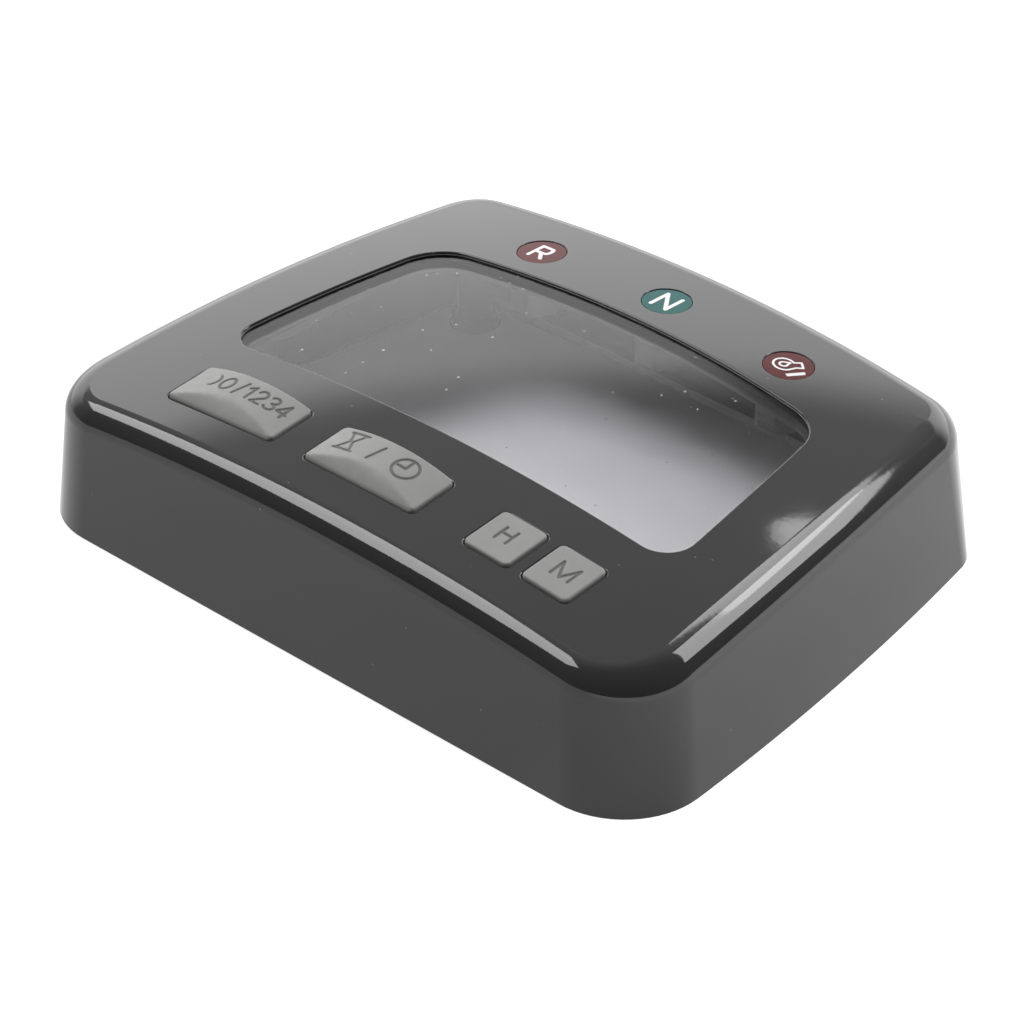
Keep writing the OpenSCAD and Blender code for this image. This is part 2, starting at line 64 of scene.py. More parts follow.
def make_camera():
    a, e, r = CAMERA_AZIMUTH, CAMERA_ELEVATION, CAMERA_ROLL
    back = Vector((math.sin(a) * math.cos(e), -math.cos(a) * math.cos(e), math.sin(e)))
    right = Vector((math.cos(a), math.sin(a), 0.0))
    up = back.cross(right)
    turned_right = right * math.cos(r) - up * math.sin(r)
    turned_up = up * math.cos(r) + right * math.sin(r)
    place = (Vector(CAMERA_TARGET) + back * CAMERA_DISTANCE) * MM
    matrix = Matrix((turned_right, turned_up, back)).transposed().to_4x4()
    matrix.translation = place
    data = bpy.data.cameras.new("camera")
    data.lens = CAMERA_LENS
    data.sensor_width = 36.0
    data.clip_start = 0.01
    data.clip_end = 50.0
    camera = bpy.data.objects.new("camera", data)
    camera.matrix_world = matrix
    bpy.context.scene.collection.objects.link(camera)
    bpy.context.scene.camera = camera


make_camera()


# ---- sizes from the frame ---------------------------------------------------
def box_mm(node):
    """Lowest and highest corner of a CAD node, in millimetres."""
    low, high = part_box(node)
    return np.array(low) / MM, np.array(high) / MM


def middle_mm(node):
    low, high = box_mm(node)
    return (low + high)[:2] / 2


CASE_LOW, CASE_HIGH = box_mm("upper_case")
FRONT_BULGE, BACK_BULGE = 0.03, 2.84
FRONT_Y = CASE_LOW[1] + FRONT_BULGE
BACK_Y = CASE_HIGH[1] - BACK_BULGE
CASE_CORNERS = [(-70.8, FRONT_Y), (70.8, FRONT_Y), (59.7, BACK_Y), (-59.7, BACK_Y)]
CASE_BULGES = [FRONT_BULGE, 2.29, BACK_BULGE, 2.29]
FOOT_SHAPE = (CASE_CORNERS, CASE_BULGES, [15.2, 15.2, 9.2, 9.2])
CROWN_SHAPE = (CASE_CORNERS, CASE_BULGES, [16.4, 16.4, 13.0, 13.0])
WINDOW_SHAPE = (
    [(-50.7, -21.2), (50.7, -21.2), (43.8, 24.6), (-43.8, 24.6)],
    [-0.75, 0.5, 2.87, 0.5],
    [5.5, 5.5, 9.2, 9.2],
)
CROWN_H, CROWN_Y = 31.75, 9.7
CROWN_RX, CROWN_RY = 480.0, 564.0
EDGE_R, SIDE_SWELL = 4.8, 1.4
DRAFT, SIDE_DRAFT = 0.0588, 0.052
WALL, ROOF = 2.2, 2.4
LIP, LENS_T, COLLAR_H = 0.6, 2.0, 5.2
POCKET, COLLAR = 1.7, 2.9
REBATE_D, REBATE_H = 1.3, 3.5
TUNNEL_APOTHEM, TUNNEL_LOW = 5.65, 19.3
LAMP_BORE, LAMP_SEAT_R, LAMP_SEAT_DROP = 4.5, 3.7, 2.3
KEY_GAP, KEY_CORNER = 0.25, 1.1
LAMP_NODES = ("reverse_lamp_lens", "neutral_lamp_lens", "oil_lamp_lens")
KEY_NODES = ("trip_key", "time_key", "hour_key", "minute_key")
FLANGE, FLANGE_T = 0.8, 1.0
LENS_GAP, LENS_MARGIN, LCD_STEP, LCD_CORNER = 0.04, 1.6, 0.3, 0.6
RETAINER_GAP, RETAINER_SHORT = 0.3, 0.15
FOOT_BEVEL = 0.25
COLUMN, POST = (3.2, 4.5, 1.55), (2.3, 19.0, 1.05)
BRACKET_POST = (2.3, 21.0, 1.05)


# ---- outlines ---------------------------------------------------------------
def turn(start, end):
    return (end - start + 3 * math.pi) % (2 * math.pi) - math.pi


def arc(centre, radius, start, end, steps):
    """Points and outward normals along an arc, without its last point."""
    angles = start + turn(start, end) * np.arange(steps) / steps
    unit = np.stack([np.cos(angles), np.sin(angles)], 1)
    return centre + abs(radius) * unit, math.copysign(1.0, radius) * unit


def bearing(v):
    return math.atan2(v[1], v[0])


def edge_circle(p, q, bulge):
    chord = np.linalg.norm(q - p)
    radius = chord * chord / (8 * bulge) + bulge / 2
    along = (q - p) / chord
    return (p + q) / 2 + np.array([-along[1], along[0]]) * (radius - bulge), radius


def corner_centre(a, b, radius, corner):
    ra, rb = abs(a[1] - radius), abs(b[1] - radius)
    gap = b[0] - a[0]
    d = np.linalg.norm(gap)
    t = (d * d + ra * ra - rb * rb) / (2 * d)
    h = math.sqrt(ra * ra - t * t)
    foot = a[0] + gap / d * t
    side = np.array([-gap[1], gap[0]]) / d * h
    return min((foot + side, foot - side), key=lambda p: np.linalg.norm(p - corner))


def rim(shape, corner_steps=16, side_steps=36):
    """Points and outward normals round four bulged sides with rounded corners."""
    corners = [np.array(c, float) for c in shape[0]]
    edges = [edge_circle(corners[i], corners[(i + 1) % 4], shape[1][i]) for i in range(4)]
    centres = [corner_centre(edges[i - 1], edges[i], shape[2][i], corners[i]) for i in range(4)]
    points, normals = [], []
    for i in range(4):
        before, after, centre = edges[i - 1], edges[i], centres[i]
        start = bearing((centre - before[0]) * math.copysign(1, before[1]))
        end = bearing((centre - after[0]) * math.copysign(1, after[1]))
        following = centres[(i + 1) % 4]
        for p, n in (
            arc(centre, shape[2][i], start, end, corner_steps),
            arc(after[0], after[1], bearing(centre - after[0]), bearing(following - after[0]), side_steps),
        ):
            points.append(p)
            normals.append(n)
    return np.concatenate(points), np.concatenate(normals)


def rounded_rect(centre, width, depth, radius, corner_steps=8, side_steps=12):
    """Points and outward normals round a rectangle with rounded corners."""
    points, normals = [], []
    half = np.array([width / 2 - radius, depth / 2 - radius])
    for i, (sx, sy) in enumerate(((1, -1), (1, 1), (-1, 1), (-1, -1))):
        start = (i - 1) * math.pi / 2
        c = np.array(centre) + half * (sx, sy)
        p, n = arc(c, radius, start, start + math.pi / 2, corner_steps)
        following = np.array(centre) + half * ((1, 1), (-1, 1), (-1, -1), (1, -1))[i]
        out = np.array([math.cos(start + math.pi / 2), math.sin(start + math.pi / 2)])
        t = np.arange(side_steps)[:, None] / side_steps
        points += [p, c + out * radius + (following - c) * t]
        normals += [n, np.repeat(out[None], side_steps, 0)]
    return np.concatenate(points), np.concatenate(normals)


def circle(centre, radius, steps=64):
    angles = np.arange(steps) * 2 * math.pi / steps
    unit = np.stack([np.cos(angles), np.sin(angles)], 1)
    return np.array(centre) + radius * unit, unit


def octagon(centre, apothem, steps=64):
    """An octagon with the point count and bearings of circle(), flats facing the axes."""
    angles = np.arange(steps) * 2 * math.pi / steps
    flat = np.round(angles / (math.pi / 4)) * (math.pi / 4)
    reach = apothem / np.cos(angles - flat)
    unit = np.stack([np.cos(angles), np.sin(angles)], 1)
    return np.array(centre) + unit * reach[:, None], np.stack([np.cos(flat), np.sin(flat)], 1)


# ---- crown ------------------------------------------------------------------
def crown(p):
    return CROWN_H - p[:, 0] ** 2 / (2 * CROWN_RX) - (p[:, 1] - CROWN_Y) ** 2 / (2 * CROWN_RY)


def crown_at(x, y):
    return float(crown(np.array([[x, y]]))[0])


def crown_normal(p):
    n = np.stack([p[:, 0] / CROWN_RX, (p[:, 1] - CROWN_Y) / CROWN_RY, np.ones(len(p))], 1)
    return n / np.linalg.norm(n, axis=1, keepdims=True)


def lift(p, z):
    """Points in the plane, raised to z, which is one height or one for each point."""
    return np.column_stack([p, np.broadcast_to(np.asarray(z, float), (len(p),))])


def level(n):
    return lift(n, 0.0)


def facing(p, direction):
    return np.repeat(np.array([direction], float), len(p), 0)


def lean(rim_normals):
    """How far the wall leans in at each rim point, for each millimetre of height."""
    return DRAFT + SIDE_DRAFT * rim_normals[:, 0] ** 2


def foot_ring(inset, z):
    """A level ring near the foot of the wall, moved in by inset."""
    points, normals = rim(FOOT_SHAPE)
    return lift(points - normals * (inset + lean(normals) * z)[:, None], z)


def edge_ring(inset, drop, radius, t):
    """One ring of the round edge between wall (t = 0) and crown (t = 1), with its normals."""
    rim_points, rim_normals = rim(CROWN_SHAPE)
    slope = lean(rim_normals)
    r = radius + SIDE_SWELL * rim_normals[:, 0] ** 2
    p = rim_points - rim_normals * (inset + slope * (CROWN_H - EDGE_R) + r)[:, None]
    tilt = np.einsum("ij,ij->i", p / (CROWN_RX, CROWN_RY) - (0, CROWN_Y / CROWN_RY), rim_normals)
    fall = np.arctan(tilt)
    z = crown(p + rim_normals * (r * np.sin(fall))[:, None]) - drop - r * np.cos(fall)
    phi = np.arctan(slope) + t * (math.pi / 2 - fall - np.arctan(slope))
    flat = rim_points - rim_normals * (inset + slope * z + r - r * np.cos(phi))[:, None]
    height = z + r * np.sin(phi) if t < 1 else crown(flat) - drop
    normals = np.column_stack([rim_normals * np.cos(phi)[:, None], np.sin(phi)])
    return lift(flat, height), normals


# ---- meshes -----------------------------------------------------------------
def inside(p, loop):
    """Which points lie inside a closed loop."""
    a, b = loop, np.roll(loop, -1, 0)
    hit = np.zeros(len(p), bool)
    for (x0, y0), (x1, y1) in zip(a, b):
        crosses = (y0 > p[:, 1]) != (y1 > p[:, 1])
        with np.errstate(divide="ignore", invalid="ignore"):
            at = x0 + (p[:, 1] - y0) * (x1 - x0) / (y1 - y0)
        hit ^= crosses & (p[:, 0] < at)
    return hit


def loop_distance(p, loop, closed=True):
    """Distance from each point to a polyline."""
    best = np.full(len(p), 1e9)
    count = len(loop) if closed else len(loop) - 1
    for i in range(count):
        a, b = loop[i], loop[(i + 1) % len(loop)]
        ab = b - a
        t = np.clip(((p - a) @ ab) / max(ab @ ab, 1e-12), 0, 1)
        best = np.minimum(best, np.linalg.norm(p - a - t[:, None] * ab, axis=1))
    return best


def grid(low, high, step):
    """A staggered grid of points over a rectangle."""
    xs = np.arange(low[0], high[0], step)
    ys = np.arange(low[1], high[1], step * 0.866)
    x, y = np.meshgrid(xs, ys)
    x[1::2] += step / 2
    return np.stack([x.ravel(), y.ravel()], 1)


class Skin:
    """Faces with a normal at every corner, welded into one mesh at the end."""

    def __init__(self):
        self.corners, self.normals, self.faces, self.finishes = [], [], [], []
        self.count = 0

    def add(self, points, normals, faces, finish):
        self.corners.append(points)
        self.normals.append(normals)
        for f, m in zip(faces, np.broadcast_to(finish, (len(faces),))):
            self.faces.append([int(v) + self.count for v in f])
            self.finishes.append(int(m))
        self.count += len(points)

    def strip(self, a, b, na, nb, finish=0):
        """Quads between two closed rings of equal length."""
        n = len(a)
        i = np.arange(n)
        j = (i + 1) % n
        self.add(np.concatenate([a, b]), np.concatenate([na, nb]), np.stack([i, j, j + n, i + n], 1), finish)

    def rings(self, rings):
        """Strips through a list of (points, normals)."""
        for (a, na), (b, nb) in zip(rings, rings[1:]):
            self.strip(a, b, na, nb)

    def patch(self, loops, height, normal, spacing, extra=None, pick=None):
        """Fills between loops[0] and the holes loops[1:], at height(p) with normal(p)."""
        outer, holes = loops[0], loops[1:]
        cloud = grid(outer.min(0), outer.max(0), spacing)
        keep = inside(cloud, outer) & (loop_distance(cloud, outer) > spacing * 0.4)
        for hole in holes:
            keep &= ~inside(cloud, hole)
        cloud = cloud[keep]
        for hole in holes:
            cloud = cloud[loop_distance(cloud, hole) > spacing * 0.4]
        if extra is not None:
            good = inside(extra, outer) & (loop_distance(extra, outer) > 0.03)
            cloud = np.concatenate([cloud, extra[good]])
        edges, start = [], 0
        for loop in loops:
            n = len(loop)
            edges += [(start + k, start + (k + 1) % n) for k in range(n)]
            start += n
        flat = np.concatenate(list(loops) + [cloud])
        made = delaunay_2d_cdt([Vector(p) for p in flat], edges, [], 0, 1e-7)
        verts = np.array([tuple(v) for v in made[0]])
        faces = np.array([tuple(f) for f in made[2]])
        centre = verts[faces].mean(1)
        keep = inside(centre, outer)
        for hole in holes:
            keep &= ~inside(centre, hole)
        faces, centre = faces[keep], centre[keep]
        finish = 0 if pick is None else pick(centre)
        self.add(lift(verts, height(verts)), normal(verts), faces, finish)

    def build(self, name, materials):
        """Welds the corners, turns each face to its normals and makes the object."""
        corners, normals = np.concatenate(self.corners), np.concatenate(self.normals)
        keys = {}
        index = [keys.setdefault(tuple(k), len(keys)) for k in np.round(corners / 2e-4).astype(np.int64)]
        place = np.zeros((len(keys), 3))
        place[index] = corners
        faces, finishes, loops = [], [], []
        for face, finish in zip(self.faces, self.finishes):
            ring = [(index[v], v) for k, v in enumerate(face) if index[v] != index[face[k - 1]]]
            if len(ring) < 3 or len({r[0] for r in ring}) < len(ring):
                continue
            p = place[[r[0] for r in ring]]
            area = np.cross(p - p[0], np.roll(p, -1, 0) - p[0]).sum(0)
            if area @ normals[[r[1] for r in ring]].sum(0) < 0:
                ring.reverse()
            faces.append([r[0] for r in ring])
            loops += [r[1] for r in ring]
            finishes.append(finish)
        mesh = bpy.data.meshes.new(name)
        mesh.from_pydata((place * MM).tolist(), [], faces)
        for material in materials:
            mesh.materials.append(material)
        mesh.polygons.foreach_set("material_index", finishes)
        mesh.shade_smooth()
        unit = normals[loops] / np.linalg.norm(normals[loops], axis=1, keepdims=True)
        mesh.normals_split_custom_set(unit.tolist())
        mesh.update()
        thing = bpy.data.objects.new(name, mesh)
        bpy.context.scene.collection.objects.link(thing)
        return thing


def round_over(points, normals, radius, surface, surface_normal, steps=5):
    """Rings that round the edge of a hole, from the surface into the hole's wall.
    The normals point out of the hole, into the material."""
    rings = []
    out = points + normals * radius
    top = surface(out)
    up = surface_normal(out)
    for k in range(steps + 1):
        phi = k / steps * math.pi / 2
        flat = out - normals * (radius * math.sin(phi))
        n = up * math.cos(phi) - level(normals) * math.sin(phi)
        rings.append((lift(flat, top - radius * (1 - math.cos(phi))), n))
    return out, rings


# ---- upper case -------------------------------------------------------------
WINDOW_EDGE, KEY_EDGE, LAMP_EDGE = 0.35, 0.35, 0.12


def hole_wall(skin, points, normals, bottom):
    """Straight wall of a hole, from the last rounded ring down to bottom."""
    skin.strip(points, bottom, -level(normals), -level(normals), 1)


def make_case(material, hole_material):
    skin = Skin()
    wall_low = foot_ring(0, FOOT_BEVEL)
    edge, edge_n = edge_ring(0, 0, EDGE_R, 0)
    foot_n, down = level(rim(FOOT_SHAPE)[1]), facing(edge, (0, 0, -1))
    low_n = foot_n + (0, 0, DRAFT)
    outside = [(wall_low + (edge - wall_low) * t, low_n + (edge_n - low_n) * t) for t in (0, 0.3, 0.6)]
    outside += [edge_ring(0, 0, EDGE_R, k / 14) for k in range(15)]
    skin.rings(outside)
    top_ring = outside[-1][0]
    foot = foot_ring(FOOT_BEVEL, 0)
    skin.strip(foot, wall_low, down, low_n)

    rebate, rebate_top = foot_ring(REBATE_D, 0), foot_ring(REBATE_D, REBATE_H)
    inner = [edge_ring(WALL, ROOF, EDGE_R - ROOF, k / 6) for k in range(7)]
    inner_foot = foot_ring(WALL, 0)
    ledge = inner_foot + (inner[0][0] - inner_foot) * (REBATE_H / inner[0][0][:, 2])[:, None]
    skin.strip(foot, rebate, down, down)
    skin.strip(rebate, rebate_top, -foot_n, -foot_n)
    skin.strip(rebate_top, ledge, down, down)
    skin.rings([(p, -n) for p, n in [(ledge, foot_n)] + inner])

    top_loops, ceiling_loops = [top_ring[:, :2]], [inner[-1][0][:, :2]]

    # window: lip, pocket for the lens, collar
    win_p, win_n = rim(WINDOW_SHAPE)
    out, rings = round_over(win_p, win_n, WINDOW_EDGE, crown, crown_normal)
    top_loops.append(out)
    skin.rings(rings)
    lip_low = lift(win_p, crown(win_p) - LIP)
    hole_wall(skin, rings[-1][0], win_n, lip_low)
    pocket, collar = win_p + win_n * POCKET, win_p + win_n * COLLAR
    pocket_top = lift(pocket, crown(pocket) - LIP)
    pocket_low = lift(pocket, crown(pocket) - COLLAR_H)
    collar_low = lift(collar, crown(collar) - COLLAR_H)
    down = facing(lip_low, (0, 0, -1))
    skin.strip(lip_low, pocket_top, down, down)
    skin.strip(pocket_top, pocket_low, -level(win_n), -level(win_n))
    skin.strip(pocket_low, collar_low, down, down)
    collar_top = lift(collar, crown(collar) - ROOF)
    skin.strip(collar_low, collar_top, level(win_n), level(win_n))
    ceiling_loops.append(collar)

    # keys
    for node in KEY_NODES:
        low, high = box_mm(node)
        size = (high - low)[:2] - 2 * FLANGE + 2 * KEY_GAP
        p, n = rounded_rect((low + high)[:2] / 2, size[0], size[1], KEY_CORNER + KEY_GAP)
        out, rings = round_over(p, n, KEY_EDGE, crown, crown_normal)
        top_loops.append(out)
        skin.rings(rings)
        hole_wall(skin, rings[-1][0], n, lift(p, crown(p) - ROOF))
        ceiling_loops.append(p)

    # lamps: bore, seat and an octagonal tunnel
    for node in LAMP_NODES:
        centre = middle_mm(node)
        p, n = circle(centre, LAMP_BORE)
        out, rings = round_over(p, n, LAMP_EDGE, crown, crown_normal)
        top_loops.append(out)
        skin.rings(rings)
        seat_z = crown_at(*centre) - LAMP_SEAT_DROP
        seat_out = lift(p, seat_z)
        hole_wall(skin, rings[-1][0], n, seat_out)
        narrow, _ = circle(centre, LAMP_SEAT_R)
        seat_in, tube_low = lift(narrow, seat_z), lift(narrow, TUNNEL_LOW)
        up = facing(seat_in, (0, 0, 1))
        skin.strip(seat_out, seat_in, up, up)
        skin.strip(seat_in, tube_low, -level(n), -level(n))
        eight, eight_n = octagon(centre, TUNNEL_APOTHEM)
        eight_low = lift(eight, TUNNEL_LOW)
        skin.strip(tube_low, eight_low, -up, -up)
        skin.strip(eight_low, lift(eight, crown(eight) - ROOF), level(eight_n), level(eight_n))
        ceiling_loops.append(eight)

    skin.patch(top_loops, crown, crown_normal, 3.0)
    skin.patch(ceiling_loops, lambda p: crown(p) - ROOF, lambda p: -crown_normal(p), 6.0)
    case = skin.build("case_shell", [material, hole_material])
    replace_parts(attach(case, "housing"), "upper_case")


def add_sheet(skin, outer, hole, top, bottom, spacing=4.0):
    """A sheet that follows the crown, from top to bottom below it, with or without a hole."""
    loops = [outer[0]] + ([hole[0]] if hole else [])
    skin.patch(loops, lambda p: crown(p) - top, crown_normal, spacing)
    skin.patch(loops, lambda p: crown(p) - bottom, lambda p: -crown_normal(p), spacing)
    for loop, sign in ((outer, 1), (hole, -1)):
        if loop:
            p, n = loop
            side = level(n) * sign
            skin.strip(lift(p, crown(p) - top), lift(p, crown(p) - bottom), side, side)


def window_loop(grow):
    p, n = rim(WINDOW_SHAPE)
    return p + n * grow, n


def make_window(lens_material, black):
    skin = Skin()
    add_sheet(skin, window_loop(LENS_MARGIN), None, LIP + LENS_GAP, LIP + LENS_GAP + LENS_T)
    lens = skin.build("window_lens_clear", [lens_material])
    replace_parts(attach(lens, "housing"), "window_lens")
    skin = Skin()
    top, bottom = LIP + LENS_T + RETAINER_GAP, COLLAR_H - RETAINER_SHORT
    add_sheet(skin, window_loop(LENS_MARGIN), window_loop(0), top, bottom)
    ring = skin.build("lens_retainer_ring", [black])
    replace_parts(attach(ring, "housing"), "lens_retainer")


def make_display(material):
    """The display cell: two glasses bonded into one clear block with a ledge at the front."""
    low, step = box_mm("lcd_rear_glass")
    front, high = box_mm("lcd_front_glass")
    rear_size, front_size = (step - low)[:2], (high - front)[:2] - 2 * LCD_STEP
    rear, rear_n = rounded_rect((low + step)[:2] / 2, *rear_size, LCD_CORNER)
    upper, upper_n = rounded_rect((front + high)[:2] / 2, *front_size, LCD_CORNER)
    skin = Skin()
    skin.strip(lift(rear, low[2]), lift(rear, step[2]), level(rear_n), level(rear_n))
    skin.strip(lift(rear, step[2]), lift(upper, step[2]), facing(rear, (0, 0, 1)), facing(rear, (0, 0, 1)))
    skin.strip(lift(upper, step[2]), lift(upper, high[2]), level(upper_n), level(upper_n))
    for loop, z, direction in ((rear, low[2], (0, 0, -1)), (upper, high[2], (0, 0, 1))):
        skin.patch([loop], lambda v: np.full(len(v), z), lambda v: facing(v, direction), 9.0)
    cell = skin.build("lcd_cell", [material])
    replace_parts(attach(cell, "housing"), "lcd_front_glass", "lcd_rear_glass")


def make_columns(material):
    """Screw columns and board posts, each with its bore, hanging from the crown."""
    skin = Skin()
    columns = [(x * 25.0, -46.0, COLUMN) for x in (-1, 1)]
    columns += [(x * 59.5, -5.0, COLUMN) for x in (-1, 1)]
    columns += [(x * 51.5, 42.0, COLUMN) for x in (-1, 1)]
    columns += [(x * 55.5, y, POST) for x in (-1, 1) for y in (-40.0, -26.5)]
    columns += [(x * 14.1, 41.5, POST) for x in (-1, 1)]
    columns += [(x * 56.2, y, BRACKET_POST) for x in (-1, 1) for y in (-18.0, 14.0)]
    for x, y, (radius, low, bore) in columns:
        p, n = circle((x, y), radius, 40)
        q, _ = circle((x, y), bore, 40)
        top = crown_at(x, y) - ROOF / 2 - 0.6
        deep = min(top - 1.0, low + 12.0)
        side = level(n)
        skin.strip(lift(p, low), lift(p, top), side, side)
        skin.strip(lift(p, low), lift(q, low), facing(p, (0, 0, -1)), facing(p, (0, 0, -1)))
        skin.strip(lift(q, low), lift(q, deep), -side, -side)
        for loop, z, direction in ((p, top, (0, 0, 1)), (q, deep, (0, 0, -1))):
            skin.patch([loop], lambda v: np.full(len(v), z), lambda v: facing(v, direction), 2.0)
    posts = skin.build("case_columns", [material])
    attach(posts, "housing")


# ---- legends ----------------------------------------------------------------
def ellipse(cx, cy, rx, ry, start=0, end=360, steps=24):
    a = np.radians(np.linspace(start, end, steps + 1))
    return np.stack([cx + rx * np.cos(a), cy + ry * np.sin(a)], 1)


def line(*points):
    return np.array(points, float)


def bowl(top, bottom, reach):
    """The round part of an R, from the stem and back."""
    half = (top - bottom) / 2
    side = ellipse(reach - half * 0.55, bottom + half, half * 0.55, half, 90, -90, 12)
    return np.concatenate([line((0, top)), side, line((0, bottom))])


# Strokes of each letter or digit, one high, and its width.
LETTERS = {
    "0": ([ellipse(0.35, 0.5, 0.35, 0.5)], 0.7),
    "1": ([line((0, 0.78), (0.3, 1), (0.3, 0))], 0.3),
    "2": ([np.concatenate([ellipse(0.29, 0.71, 0.29, 0.29, 165, -35, 14), line((0, 0), (0.58, 0))])], 0.58),
    "3": (
        [ellipse(0.27, 0.75, 0.27, 0.25, 150, -90, 14), ellipse(0.27, 0.25, 0.3, 0.25, 90, -150, 14)],
        0.58,
    ),
    "4": ([line((0.46, 0), (0.46, 1), (0, 0.3), (0.6, 0.3))], 0.6),
    "/": ([line((0, -0.03), (0.28, 1.05))], 0.28),
    "R": ([line((0, 0), (0, 1)), bowl(1, 0.46, 0.66), line((0.32, 0.46), (0.68, 0))], 0.68),
    "H": ([line((0, 0), (0, 1)), line((0.75, 0), (0.75, 1)), line((0, 0.56), (0.75, 0.56))], 0.75),
    "M": ([line((0, 0), (0, 1), (0.53, 0), (1.06, 1), (1.06, 0))], 1.06),
    "N": ([line((0, 0), (0, 1), (0.72, 0), (0.72, 1))], 0.72),
}


def letter(name, size, centre=(0, 0)):
    """Strokes of one letter, size high and centred."""
    parts, width = LETTERS[name]
    return [part * size + centre - (width * size / 2, size / 2) for part in parts]


def row(text, lefts, size, low):
    """Strokes of letters that stand in a row, each with its own left edge."""
    return [part * size + (left, low) for name, left in zip(text, lefts) for part in LETTERS[name][0]]


def hourglass(centre, width, height):
    w, h = width / 2, height / 2
    glass = line((-w * 0.8, h), (-w * 0.15, 0), (-w * 0.8, -h))
    parts = [line((-w, h), (w, h)), line((-w, -h), (w, -h)), glass, glass * (-1, 1)]
    return [p + np.array(centre) for p in parts]


def clock(centre, radius):
    hands = line((0, radius * 0.85), (0, 0), (-radius * 0.75, 0))
    return [p + np.array(centre) for p in (ellipse(0, 0, radius, radius, steps=40), hands)]


def oil_can():
    """Oil temperature symbol: a round can with a drop in it, and a thermometer."""
    body = ellipse(-0.9, -0.1, 1.9, 1.75, 62, 345, 30)
    spout = line(body[0], (0.9, 2.4), (2.2, 1.3), (1.3, 0.5), body[-1])
    tip = line((-0.4, 1.0))
    drop = np.concatenate([tip, ellipse(-0.95, -0.15, 0.72, 0.65, 30, -250, 14), tip])
    stem = [line((1.5, -2.3), (3.2, 0.3)), line((1.9, -2.5), (3.5, 0.0))]
    return [body, spout, drop] + stem


def stroke_distance(p, strokes):
    best = np.full(len(p), 1e9)
    for stroke in strokes:
        best = np.minimum(best, loop_distance(p, stroke, closed=False))
    return best


def contour(strokes, offset, step):
    """Points that lie the given distance from the strokes."""
    found = []
    for stroke in strokes:
        for a, b in zip(stroke, stroke[1:]):
            length = np.linalg.norm(b - a)
            if length < 1e-6:
                continue
            along = (b - a) / length
            side = np.array([-along[1], along[0]])
            t = (np.arange(max(1, round(length / step))) + 0.5) / max(1, round(length / step))
            for s in (-1, 1):
                found.append(a + t[:, None] * (b - a) + side * offset * s)
        for p in stroke:
            angles = np.arange(16) * math.pi / 8
            found.append(p + offset * np.stack([np.cos(angles), np.sin(angles)], 1))
    cloud = np.concatenate(found)
    cloud = cloud[stroke_distance(cloud, strokes) > offset - 1e-4]
    _, first = np.unique(np.round(cloud / (step * 0.45)).astype(int), axis=0, return_index=True)
    return cloud[np.sort(first)]


# ---- keys -------------------------------------------------------------------
KEY_PROUD, WIDE_PROUD = 0.4, 2.0
ARCH_R, SCOOP_BACK, SCOOP_RUN, SCOOP_CURVE = 44.0, 1.9, 3.15, 1.5
SCOOP_BLEND = 0.2
KEY_TOP_EDGE = 0.35
ENGRAVE_HALF, ENGRAVE_SLOPE, ENGRAVE_DEPTH = 0.26, 0.13, 0.24


def soft_min(a, b, width):
    """The lower of two heights, blended over width."""
    h = np.clip(0.5 + 0.5 * (b - a) / width, 0, 1)
    return b * (1 - h) + a * h - width * h * (1 - h)


def key_top(centre, wide):
    """Height of a key's top face before its legend is cut, as a function of points."""
    cx, cy = centre
    tilt_x, tilt_y = cx / CROWN_RX, (cy - CROWN_Y) / CROWN_RY
    base = crown_at(cx, cy)

    def flat(p):
        return base - tilt_x * (p[:, 0] - cx) - tilt_y * (p[:, 1] - cy)

    def small_height(p):
        return flat(p) + KEY_PROUD

    def wide_height(p):
        arch = flat(p) + WIDE_PROUD - (p[:, 0] - cx) ** 2 / (2 * ARCH_R)
        down = np.clip((cy - SCOOP_BACK - p[:, 1]) / SCOOP_RUN, 0, None)
        scoop = flat(p) + WIDE_PROUD * (1 - down**SCOOP_CURVE)
        return soft_min(arch, scoop + SCOOP_BLEND * 0.25, SCOOP_BLEND)

    return wide_height if wide else small_height


def slope_normal(height):
    """Upward normals of a height function, by finite differences."""
    step = 0.01

    def normal(p):
        dx = (height(p + (step, 0)) - height(p - (step, 0))) / (2 * step)
        dy = (height(p + (0, step)) - height(p - (0, step))) / (2 * step)
        n = np.stack([-dx, -dy, np.ones(len(p))], 1)
        return n / np.linalg.norm(n, axis=1, keepdims=True)

    return normal


